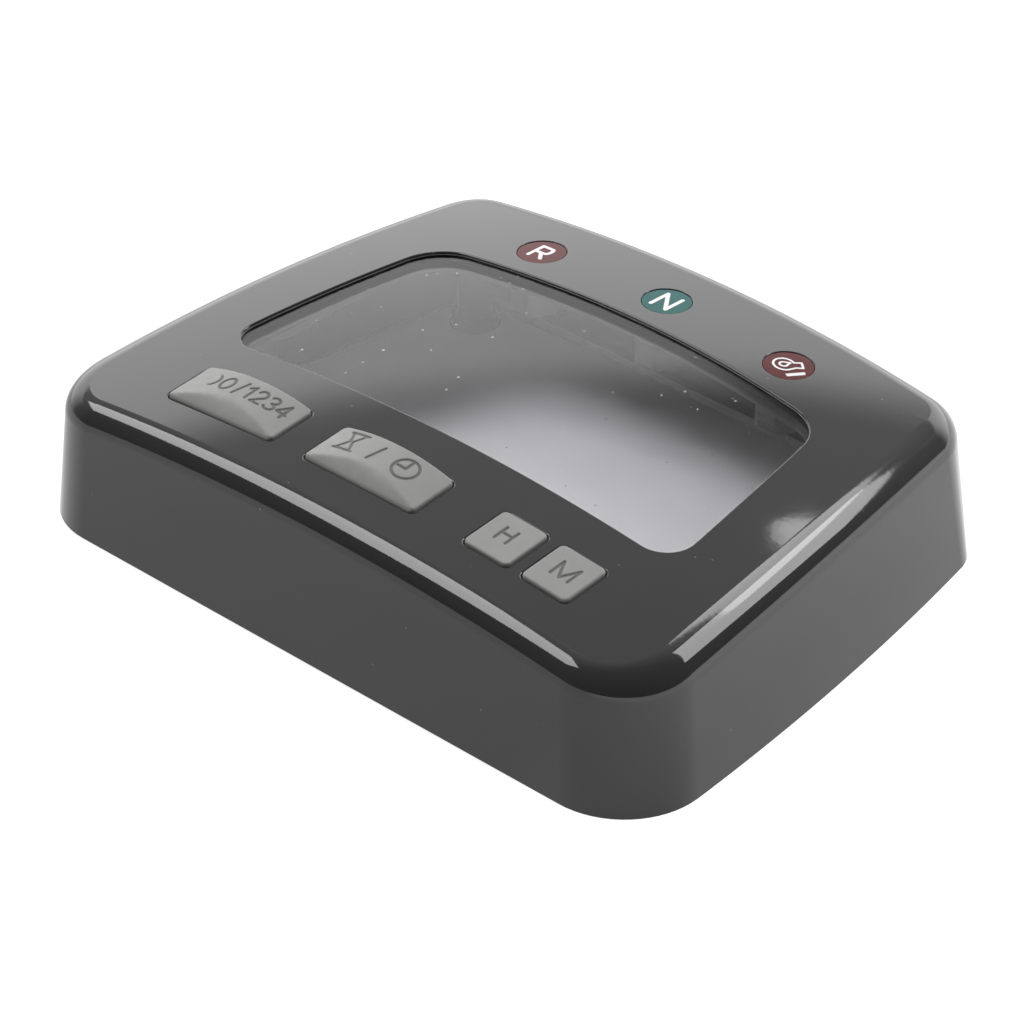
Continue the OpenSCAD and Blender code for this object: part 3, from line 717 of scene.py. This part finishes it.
def make_key(node, strokes, wide, worn, material, legend_material):
    low, high = box_mm(node)
    centre = (low + high)[:2] / 2
    width, depth = (high - low)[:2] - 2 * FLANGE
    strokes = [s + centre for s in strokes]
    top = key_top(centre, wide)

    def left(p):
        """How much of the legend is left: it is worn away beyond the line x = worn."""
        return np.clip((p[:, 0] - centre[0] - worn) / 1.5, 0.12, 1)

    def cut(p):
        d = stroke_distance(p, strokes)
        t = np.clip((ENGRAVE_HALF + ENGRAVE_SLOPE - d) / (2 * ENGRAVE_SLOPE), 0, 1)
        return top(p) - ENGRAVE_DEPTH * left(p) * t * t * (3 - 2 * t)

    skin = Skin()
    p, n = rounded_rect(centre, width, depth, KEY_CORNER, 10, 24)
    rings = []
    for k in range(7):
        phi = k / 6 * math.pi / 2
        flat = p - n * (KEY_TOP_EDGE * (1 - math.cos(phi)))
        up = slope_normal(top)(flat)
        z = top(flat) - KEY_TOP_EDGE * (1 - math.sin(phi))
        rings.append((lift(flat, z), level(n) * math.cos(phi) + up * math.sin(phi)))
    skin.rings(rings)
    inner_loop = rings[-1][0][:, :2]
    ring_z = low[2]
    side = level(n)
    base_top = lift(p, ring_z + FLANGE_T)
    skin.strip(base_top, rings[0][0], side, side)
    wide_p, wide_n = rounded_rect(centre, width + 2 * FLANGE, depth + 2 * FLANGE, KEY_CORNER + 0.5, 10, 24)
    flange_top, flange_low = lift(wide_p, ring_z + FLANGE_T), lift(wide_p, ring_z)
    skin.strip(base_top, flange_top, facing(p, (0, 0, 1)), facing(p, (0, 0, 1)))
    skin.strip(flange_top, flange_low, level(wide_n), level(wide_n))
    skin.patch([wide_p], lambda v: np.full(len(v), ring_z), lambda v: facing(v, (0, 0, -1)), 3.0)

    extra = np.concatenate([contour(strokes, ENGRAVE_HALF + k * ENGRAVE_SLOPE, 0.16) for k in (-1, 0, 1)])
    near = grid(inner_loop.min(0), inner_loop.max(0), 0.5)
    near = near[stroke_distance(near, strokes) > ENGRAVE_HALF + ENGRAVE_SLOPE + 0.2]
    extra = np.concatenate([extra, near])
    skin.patch([inner_loop], cut, slope_normal(cut), 50.0, extra=extra,
               pick=lambda c: ((stroke_distance(c, strokes) < ENGRAVE_HALF) & (left(c) > 0.5)).astype(int))
    key = skin.build(node + "_cap", [material, legend_material])
    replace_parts(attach(key, node), node)


# ---- lamps ------------------------------------------------------------------
LAMP_DROP, LAMP_TOP_EDGE = 0.12, 0.15


def make_lamp(node, strokes, half, material, legend_material):
    low, high = box_mm(node)
    centre = (low + high)[:2] / 2
    radius = (high - low)[0] / 2
    strokes = [s + centre for s in strokes]
    skin = Skin()
    p, n = circle(centre, radius, 72)
    rings = []
    for k in range(5):
        phi = k / 4 * math.pi / 2
        flat = p - n * (LAMP_TOP_EDGE * (1 - math.cos(phi)))
        z = crown(flat) - LAMP_DROP - LAMP_TOP_EDGE * (1 - math.sin(phi))
        rings.append((lift(flat, z), level(n) * math.cos(phi) + crown_normal(flat) * math.sin(phi)))
    skin.rings(rings)
    foot = lift(p, low[2])
    skin.strip(foot, rings[0][0], level(n), level(n))
    skin.patch([p], lambda v: np.full(len(v), low[2]), lambda v: facing(v, (0, 0, -1)), 2.0)
    extra = np.concatenate([contour(strokes, half + k * 0.1, 0.12) for k in (-1, 0, 1)])
    skin.patch([rings[-1][0][:, :2]], lambda v: crown(v) - LAMP_DROP, crown_normal, 0.9, extra=extra,
               pick=lambda c: (stroke_distance(c, strokes) < half).astype(int))
    lens = skin.build(node + "_disc", [material, legend_material])
    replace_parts(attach(lens, "housing"), node)


# ---- materials --------------------------------------------------------------
class Nodes:
    """A short way to write a node tree."""

    def __init__(self, name):
        self.material = bpy.data.materials.new(name)
        self.material.use_nodes = True
        self.tree = self.material.node_tree
        self.tree.nodes.clear()
        self.out = self.tree.nodes.new("ShaderNodeOutputMaterial")
        self.shader = self.tree.nodes.new("ShaderNodeBsdfPrincipled")
        self.tree.links.new(self.shader.outputs[0], self.out.inputs["Surface"])
        self.place = self.tree.nodes.new("ShaderNodeTexCoord").outputs["Object"]

    def node(self, kind, inputs=None, **settings):
        made = self.tree.nodes.new(kind)
        for key, value in settings.items():
            setattr(made, key, value)
        for key, value in (inputs or {}).items():
            self.link(value, made.inputs[key])
        return made

    def link(self, value, socket):
        if isinstance(value, bpy.types.NodeSocket):
            self.tree.links.new(value, socket)
        else:
            socket.default_value = value

    def set(self, **inputs):
        for key, value in inputs.items():
            self.link(value, self.shader.inputs[key.replace("_", " ")])
        return self

    def noise(self, scale, detail=3.0, rough=0.5):
        return self.node(
            "ShaderNodeTexNoise", {"Vector": self.place, "Scale": scale, "Detail": detail, "Roughness": rough}
        ).outputs["Fac"]

    def specks(self, scale, size):
        """Small dots scattered at random, 1 inside a dot and 0 outside."""
        cells = self.node("ShaderNodeTexVoronoi", {"Vector": self.place, "Scale": scale})
        chosen = self.node("ShaderNodeSeparateColor", {"Color": cells.outputs["Color"]}).outputs[0]
        reach = self.spread(chosen, 0.8, 1.0, 0.0, size)
        return self.node(
            "ShaderNodeMath", {0: cells.outputs["Distance"], 1: reach}, operation="LESS_THAN"
        ).outputs[0]

    def spread(self, value, low, high, to_low, to_high):
        return self.node(
            "ShaderNodeMapRange",
            {"Value": value, "From Min": low, "From Max": high, "To Min": to_low, "To Max": to_high},
        ).outputs[0]

    def mix(self, factor, a, b):
        made = self.node("ShaderNodeMix", data_type="RGBA")
        self.link(factor, made.inputs["Factor"])
        self.link(a, made.inputs[6])
        self.link(b, made.inputs[7])
        return made.outputs[2]

    def bump(self, height, distance, strength=1.0):
        made = self.node(
            "ShaderNodeBump", {"Height": height, "Distance": distance, "Strength": strength}
        ).outputs[0]
        self.link(made, self.shader.inputs["Normal"])
        return self


def rgb(r, g, b):
    return (r, g, b, 1.0)


def gloss_black():
    m = Nodes("case_gloss_black")
    cloud = m.noise(60, 4)
    dust = m.specks(420, 0.09)
    normal = m.node("ShaderNodeNewGeometry").outputs["Normal"]
    facing_up = m.node("ShaderNodeSeparateXYZ", {0: normal}).outputs["Z"]
    wall_black = m.mix(cloud, rgb(0.016, 0.016, 0.018), rgb(0.02, 0.02, 0.022))
    painted_top_light = m.mix(cloud, rgb(0.038, 0.038, 0.039), rgb(0.044, 0.044, 0.045))
    # Faces that point up are painted lighter than the walls: painted light on the crown.
    colour = m.mix(m.spread(facing_up, 0.2, 0.9, 0.0, 1.0), wall_black, painted_top_light)
    m.set(Base_Color=m.mix(dust, colour, rgb(0.12, 0.12, 0.12)))
    m.set(Roughness=m.spread(m.noise(140, 5, 0.65), 0.35, 0.7, 0.04, 0.075))
    m.set(IOR=1.47)
    return m.bump(m.noise(900, 2), 0.00002, 0.12).material


def satin_black():
    m = Nodes("inner_black")
    m.set(Base_Color=m.mix(m.noise(90, 4), rgb(0.01, 0.01, 0.011), rgb(0.015, 0.015, 0.016)))
    m.set(Roughness=m.spread(m.noise(400, 3), 0.3, 0.7, 0.4, 0.55))
    return m.bump(m.noise(2500, 2), 0.00001, 0.3).material


def hole_wall_painted_light():
    """The matt walls of the case's holes, painted light grey: a painted reflection of the light they pick up
    from both sides.
    """
    m = Nodes("case_hole_edge")
    m.set(Base_Color=m.mix(m.noise(220, 4), rgb(0.32, 0.32, 0.32), rgb(0.4, 0.4, 0.395)))
    m.set(Roughness=m.spread(m.noise(500, 3), 0.3, 0.7, 0.45, 0.6))
    return m.bump(m.noise(2200, 2), 0.00002, 0.3).material


def silicone():
    m = Nodes("key_silicone")
    cloud = m.noise(160, 5, 0.6)
    m.set(Base_Color=m.mix(cloud, rgb(0.27, 0.273, 0.262), rgb(0.325, 0.328, 0.315)))
    m.set(Roughness=m.spread(m.noise(700, 3), 0.3, 0.7, 0.5, 0.68))
    return m.bump(m.noise(1800, 3), 0.00004, 0.35).material


def silicone_legend():
    m = Nodes("key_legend")
    m.set(Base_Color=m.mix(m.noise(600, 3), rgb(0.13, 0.13, 0.125), rgb(0.18, 0.18, 0.17)))
    return m.set(Roughness=0.7).material


def lamp(name, dark, light):
    m = Nodes(name)
    m.set(Base_Color=m.mix(m.noise(350, 3), rgb(*dark), rgb(*light)))
    m.set(Roughness=m.spread(m.noise(500, 3), 0.3, 0.7, 0.08, 0.14))
    m.set(IOR=1.2)
    return m.bump(m.noise(1200, 2), 0.00002, 0.1).material


def lamp_legend():
    m = Nodes("lamp_legend_white")
    m.set(Base_Color=m.mix(m.noise(900, 3), rgb(0.78, 0.77, 0.78), rgb(0.88, 0.87, 0.88)))
    return m.set(Roughness=0.25).material


def clear_sheet(name, tint, ior, dusty):
    m = Nodes(name)
    m.set(Base_Color=rgb(*tint), Roughness=0.0, IOR=ior)
    m.set(Transmission_Weight=1.0)
    see = m.node("ShaderNodeBsdfTransparent", {"Color": rgb(*tint)}).outputs[0]
    shadow = m.node("ShaderNodeLightPath").outputs["Is Shadow Ray"]
    body = m.shader.outputs[0]
    if dusty:
        film = m.node("ShaderNodeBsdfDiffuse", {"Color": rgb(0.7, 0.7, 0.7)}).outputs[0]
        amount = m.node("ShaderNodeMath", {0: m.specks(520, 0.14), 1: 0.55}, operation="MULTIPLY").outputs[0]
        body = m.node("ShaderNodeMixShader", {0: amount, 1: body, 2: film}).outputs[0]
    mixed = m.node("ShaderNodeMixShader", {0: shadow, 1: body, 2: see}).outputs[0]
    m.tree.links.new(mixed, m.out.inputs["Surface"])
    return m.material


def plain(name, dark, light, rough, metal=0.0, scale=300, grain=0.00003):
    m = Nodes(name)
    m.set(Base_Color=m.mix(m.noise(scale, 4), rgb(*dark), rgb(*light)))
    m.set(Roughness=m.spread(m.noise(scale * 2, 3), 0.3, 0.7, rough * 0.8, rough * 1.2))
    m.set(Metallic=metal)
    return m.bump(m.noise(scale * 4, 2), grain, 0.4).material


GLOSS = gloss_black()
INNER = satin_black()
CAD_FINISHES = {
    "tape_black": plain("tape", (0.015, 0.015, 0.015), (0.03, 0.03, 0.03), 0.8),
    "cover_black": plain("cover_abs", (0.02, 0.02, 0.021), (0.035, 0.035, 0.036), 0.55, scale=900),
    "board_green": plain("board_green", (0.01, 0.09, 0.045), (0.02, 0.14, 0.07), 0.3),
    "board_black": plain("board_black", (0.012, 0.012, 0.013), (0.025, 0.025, 0.026), 0.35),
    "led_white": plain("led_epoxy", (0.75, 0.75, 0.68), (0.88, 0.88, 0.8), 0.25),
    "chip_black": plain("chip_epoxy", (0.02, 0.02, 0.02), (0.04, 0.04, 0.04), 0.6),
    "steel": plain("zinc_steel", (0.5, 0.5, 0.52), (0.68, 0.68, 0.7), 0.3, metal=1.0),
    "brass": plain("brass", (0.62, 0.45, 0.18), (0.78, 0.6, 0.28), 0.25, metal=1.0),
    "film": plain("polyimide", (0.45, 0.26, 0.06), (0.6, 0.38, 0.1), 0.3),
    "reflector_white": plain(
        "reflector", (0.74, 0.74, 0.76), (0.82, 0.82, 0.84), 0.6, scale=120, grain=0.000004
    ),
    "foam_black": plain("foam", (0.02, 0.02, 0.02), (0.04, 0.04, 0.04), 0.9, scale=1500, grain=0.0002),
    "socket_black": plain("socket_nylon", (0.03, 0.03, 0.03), (0.05, 0.05, 0.05), 0.45),
    "seal_black": plain("seal_rubber", (0.015, 0.015, 0.015), (0.03, 0.03, 0.03), 0.7),
    "mat_grey": plain("mat_silicone", (0.14, 0.14, 0.14), (0.2, 0.2, 0.2), 0.65),
    "capacitor_sleeve": plain("capacitor", (0.06, 0.08, 0.15), (0.1, 0.12, 0.2), 0.35),
    "case_black": INNER,
}
LCD_GLASS = clear_sheet("lcd_glass", (0.985, 0.985, 0.99), 1.015, dusty=False)


def finish_cad_nodes():
    slots = {s["node"]: s["material_slot"] for s in frame["record"]["subparts"]}
    for name, thing in nodes.items():
        material = CAD_FINISHES.get(slots[name])
        if material and not thing.hide_render:
            for s in thing.material_slots:
                s.material = material


# ---- the pieces -------------------------------------------------------------
make_case(GLOSS, hole_wall_painted_light())
make_columns(INNER)
make_window(clear_sheet("window_clear", (0.884, 0.88, 0.886), 1.26, dusty=True), INNER)
make_display(LCD_GLASS)

KEYS, LEGENDS = silicone(), silicone_legend()
NEVER = -99.0
KEY_STROKES = {
    "trip_key": (row("000/1234", (-12.1, -8.7, -5.3, -1.5, 0.5, 2.7, 5.5, 8.1), 3.3, -0.3), True, -8.2),
    "time_key": (
        hourglass((-7.5, 1.5), 3.8, 4.8) + [line((-1.97, -0.81), (-1.12, 2.97))] + clock((5.05, 1.15), 2.35),
        True,
        NEVER,
    ),
    "hour_key": (letter("H", 3.2, (-0.3, 0.45)), False, NEVER),
    "minute_key": (letter("M", 3.4, (0.15, 0.25)), False, NEVER),
}
for key_node, (key_strokes, is_wide, worn_to) in KEY_STROKES.items():
    make_key(key_node, key_strokes, is_wide, worn_to, KEYS, LEGENDS)

WHITE = lamp_legend()
RED = lamp("lamp_red", (0.085, 0.012, 0.014), (0.13, 0.018, 0.021))
GREEN = lamp("lamp_green", (0.006, 0.09, 0.085), (0.01, 0.13, 0.12))
make_lamp("reverse_lamp_lens", letter("R", 4.1), 0.36, RED, WHITE)
make_lamp("neutral_lamp_lens", letter("N", 4.6), 0.38, GREEN, WHITE)
make_lamp("oil_lamp_lens", oil_can(), 0.21, RED, WHITE)
finish_cad_nodes()


# ---- stage ------------------------------------------------------------------
BACKDROP = (-0.681, 0.732, 0.0)
SOFTBOX_DISTANCE = 0.9
MIDDLE, RIGHT_EDGE = (0.0, 0.0, 0.0), (62.0, -5.0, 28.0)


class WorldNodes(Nodes):
    """A node tree for the light that comes from all round."""

    def __init__(self, name):
        self.material = bpy.data.worlds.new(name)
        self.material.use_nodes = True
        self.tree = self.material.node_tree
        self.tree.nodes.clear()
        self.out = self.tree.nodes.new("ShaderNodeOutputWorld")
        self.place = self.tree.nodes.new("ShaderNodeTexCoord").outputs["Generated"]

    def maths(self, operation, a, b):
        return self.node("ShaderNodeMath", {0: a, 1: b}, operation=operation).outputs[0]


def make_floor():
    mesh = bpy.data.meshes.new("floor")
    reach = 20.0
    corners = [(-reach, -reach, 0), (reach, -reach, 0), (reach, reach, 0), (-reach, reach, 0)]
    mesh.from_pydata(corners, [], [(0, 1, 2, 3)])
    floor = bpy.data.objects.new("floor", mesh)
    bpy.context.scene.collection.objects.link(floor)
    m = Nodes("floor_white")
    along = m.node("ShaderNodeSeparateXYZ", {0: m.place}).outputs["X"]
    glow = m.spread(along, 0.04, 0.16, 0.86, 1.7)
    m.set(Base_Color=m.mix(m.noise(6), rgb(0.29, 0.29, 0.29), rgb(0.31, 0.31, 0.31)))
    m.set(Roughness=0.9, Emission_Color=rgb(1, 1, 1), Emission_Strength=glow)
    mesh.materials.append(m.material)


def make_world():
    w = WorldNodes("studio")
    towards = w.node(
        "ShaderNodeVectorMath", {0: w.place, 1: BACKDROP}, operation="DOT_PRODUCT"
    ).outputs["Value"]
    height = w.node("ShaderNodeSeparateXYZ", {0: w.place}).outputs["Z"]
    low = w.node(
        "ShaderNodeMapRange",
        {"Value": height, "From Min": 0.505, "From Max": 0.575, "To Min": 1.0, "To Max": 0.0},
        interpolation_type="SMOOTHSTEP",
    ).outputs[0]
    beyond = w.spread(towards, 0.39, 0.7, 0.0, 1.9)
    haze = w.spread(towards, 0.06, 0.66, 0.115, 0.57)
    light = w.maths("ADD", w.maths("MULTIPLY", low, beyond), haze)
    glow = w.node("ShaderNodeBackground", {"Strength": light})
    white = w.node("ShaderNodeBackground", {"Strength": 1.0})
    white.inputs["Color"].default_value = rgb(1, 1, 1)
    glow.inputs["Color"].default_value = rgb(1, 1, 1)
    seen = w.node("ShaderNodeLightPath").outputs["Is Camera Ray"]
    mixed = w.node("ShaderNodeMixShader", {0: seen, 1: glow.outputs[0], 2: white.outputs[0]})
    w.tree.links.new(mixed.outputs[0], w.out.inputs["Surface"])
    bpy.context.scene.world = w.material


def make_softbox(name, target, direction, along, width, height, glow, shape="RECTANGLE"):
    """A sheet of light that faces a point, its width along a direction; glow 1 is white."""
    light = bpy.data.lights.new(name, "AREA")
    light.shape = shape
    light.size, light.size_y = width, height
    light.energy = glow * math.pi * width * height * (math.pi / 4 if shape == "ELLIPSE" else 1)
    box = bpy.data.objects.new(name, light)
    back = Vector(direction).normalized()
    side = (Vector(along) - back * back.dot(Vector(along))).normalized()
    box.matrix_world = Matrix((side, back.cross(side), back)).transposed().to_4x4()
    box.location = Vector(target) * MM + back * SOFTBOX_DISTANCE
    bpy.context.scene.collection.objects.link(box)


make_floor()
make_world()
make_softbox("left_softbox", MIDDLE, (-0.57, -0.225, 0.785), (0.25, -0.57, 0.0), 0.51, 0.32, 7.3)
make_softbox("right_softbox", RIGHT_EDGE, (0.311, 0.716, 0.624), (0.495, 0.055, -0.3), 0.56, 0.245, 6.7)
make_softbox(
    "right_reflector", RIGHT_EDGE, (-0.054, 0.702, 0.71), (0.6465, 0.071, -0.022), 0.64, 0.125, 5.4, "ELLIPSE"
)
bpy.context.scene.view_settings.view_transform = "Standard"
